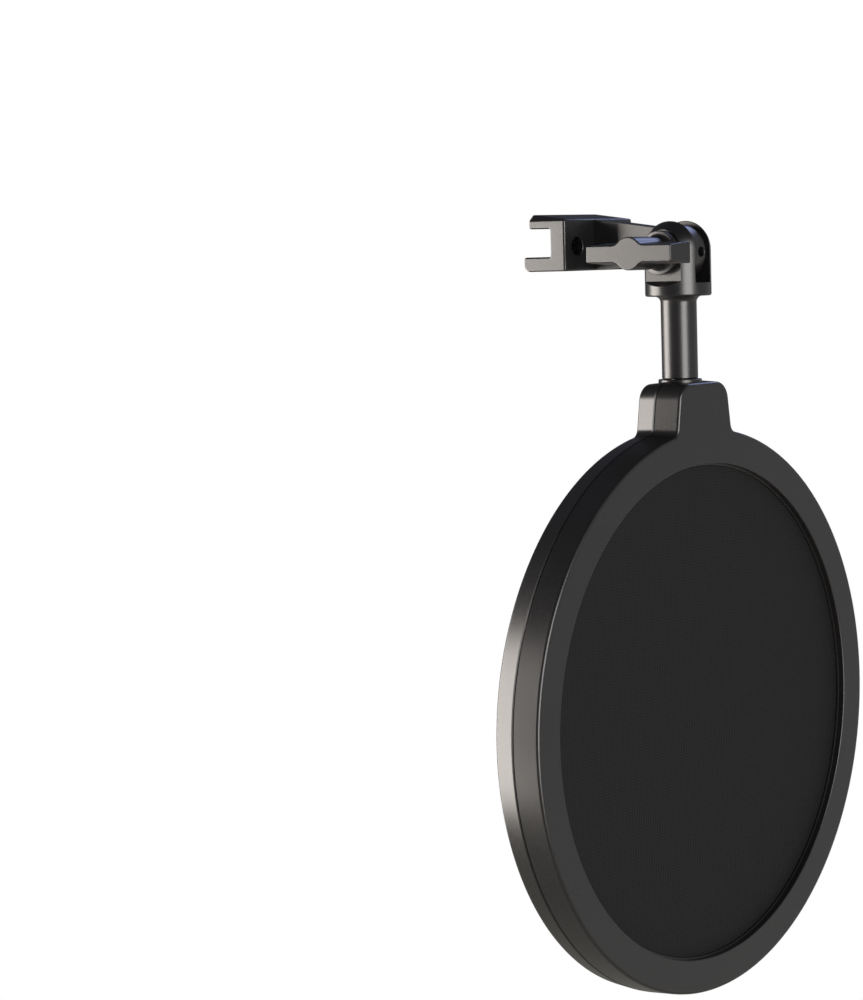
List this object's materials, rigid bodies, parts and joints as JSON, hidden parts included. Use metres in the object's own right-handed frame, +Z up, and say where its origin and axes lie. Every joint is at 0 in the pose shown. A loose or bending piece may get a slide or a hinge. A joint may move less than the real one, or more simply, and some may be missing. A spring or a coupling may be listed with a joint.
{
  "type": "pop filter",
  "caption": "Round pop filter with a double mesh hoop on a swivelling stem, a tilting fork clamped by a wing knob, and an arm with a channel bracket for a cradle ring.",
  "frame": {"origin": "centre of the bracket's seat face, where the ring of a microphone cradle bears", "axes": "+Z up along the stem, -Y out of the hoop's front mesh, +X to the right seen from the front"},
  "size_m": [0.155, 0.0546, 0.214],
  "materials": {
    "black_abs": "fine spark-eroded satin, moulded",
    "nylon_mesh": "fine plain-woven nylon, stretched",
    "black_steel": "black oxide",
    "zinc_steel": "zinc plated",
    "brass": "turned",
    "white_acetal": "smooth, moulded",
    "black_acetal": "smooth, moulded",
    "black_rubber": "matte"
  },
  "bodies": {
    "arm": {"arm_bracket": "black_abs", "bracket_screw_left": "black_steel", "bracket_screw_right": "black_steel"},
    "yoke": {"stem_yoke": "black_abs", "hinge_bolt": "zinc_steel", "left_friction_washer": "black_acetal", "right_friction_washer": "black_acetal"},
    "washer": {"knob_washer": "zinc_steel"},
    "knob": {"wing_knob": "black_abs", "knob_insert": "brass"},
    "hoop": {"front_shell": "black_abs", "rear_shell": "black_abs", "front_mesh_ring": "black_abs", "rear_mesh_ring": "black_abs", "mesh_spacer": "black_abs", "front_mesh": "nylon_mesh", "rear_mesh": "nylon_mesh", "stem_bush": "white_acetal", "stem_friction_ring": "black_rubber", "neck_screw_left": "black_steel", "neck_screw_right": "black_steel"}
  },
  "joints": [
    {"name": "tilt", "type": "hinge", "parent": "arm", "child": "yoke", "pos_m": [0, -0.0307, -0.00345], "axis": [1, 0, 0], "range_deg": [-150, 18]},
    {"name": "swivel", "type": "hinge", "parent": "yoke", "child": "hoop", "pos_m": [0, -0.0307, -0.04345], "axis": [0, 0, 1], "continuous": true},
    {"name": "knob_travel", "type": "slide", "parent": "yoke", "child": "washer", "axis": [-1, 0, 0], "range_m": [0, 0.0014]},
    {"name": "knob_turn", "type": "hinge", "parent": "washer", "child": "knob", "pos_m": [-0.018, -0.0307, -0.00345], "axis": [-1, 0, 0], "range_deg": [0, 720]}
  ],
  "couplings": [
    {"joint": "knob_travel", "follows": "knob_turn", "m_per_rad": 0.00011141}
  ]
}
